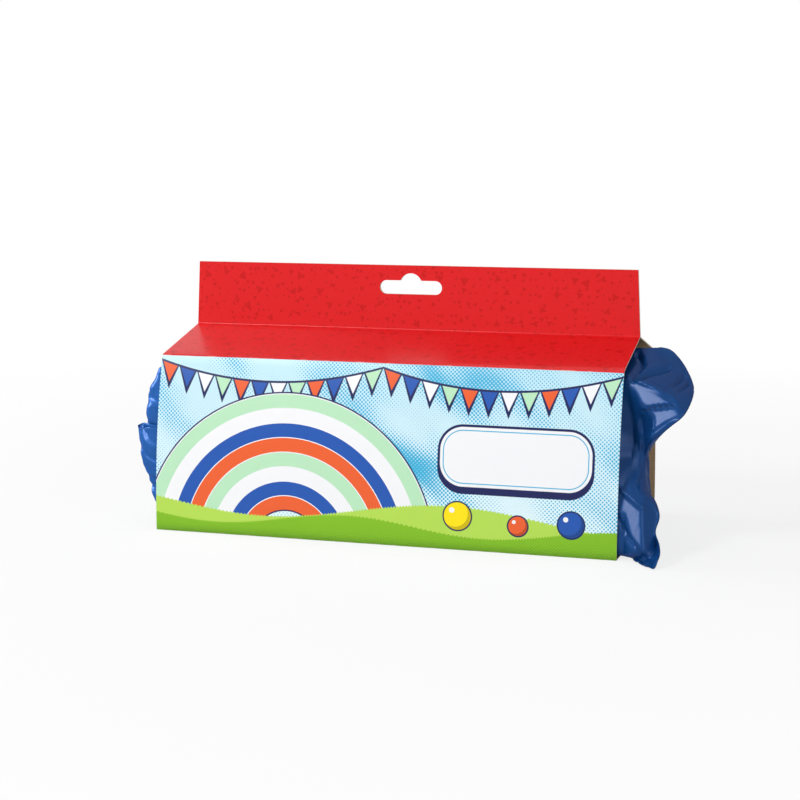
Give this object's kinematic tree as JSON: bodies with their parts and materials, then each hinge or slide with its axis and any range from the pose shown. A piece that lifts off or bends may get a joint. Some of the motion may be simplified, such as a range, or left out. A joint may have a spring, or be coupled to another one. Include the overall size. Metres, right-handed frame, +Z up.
{
  "type": "packed play parachute",
  "caption": "Folded cloth play parachute with webbing handles in a satin storage bag, inside a creased card sleeve with a hanging header.",
  "frame": {"origin": "middle of the card sleeve's base, on the surface that it stands on", "axes": "+X along the sleeve to the right as its front is seen, +Y from the front to the back, +Z up"},
  "size_m": [0.2679, 0.1209, 0.1286],
  "materials": {
    "printed_red": "gloss varnish",
    "printed_sky": "gloss varnish",
    "printed_ground": "gloss varnish",
    "satin": "satin",
    "orange": "woven nylon",
    "blue": "woven nylon",
    "white": "woven nylon",
    "green": "woven nylon",
    "tape": "woven tape",
    "webbing": "woven webbing"
  },
  "bodies": {
    "sleeve": {"header_front_leaf": "printed_red", "header_back_leaf": "printed_red", "front_shoulder": "printed_red", "back_shoulder": "printed_red", "front_panel": "printed_sky", "back_panel": "printed_sky", "base_panel": "printed_ground"},
    "bag": {"bag_front_cloth": "satin", "bag_back_cloth": "satin", "bag_mouth_casing": "satin"},
    "parachute": {"gore_1_orange": "orange", "gore_2_blue": "blue", "gore_3_white": "white", "gore_4_green": "green", "gore_5_orange": "orange", "gore_6_blue": "blue", "gore_7_white": "white", "gore_8_green": "green", "rim_tape": "tape", "hub_disc": "white", "handle_01": "webbing", "handle_02": "webbing", "handle_03": "webbing", "handle_04": "webbing", "handle_05": "webbing", "handle_06": "webbing", "handle_07": "webbing", "handle_08": "webbing", "handle_09": "webbing", "handle_10": "webbing", "handle_11": "webbing", "handle_12": "webbing"}
  },
  "joints": [
    {"name": "bag_slide", "type": "slide", "parent": "sleeve", "child": "bag", "axis": [1, 0, 0], "range_m": [0, 0.245]},
    {"name": "parachute_draw", "type": "slide", "parent": "bag", "child": "parachute", "axis": [-1, 0, 0], "range_m": [0, 0.235]}
  ]
}
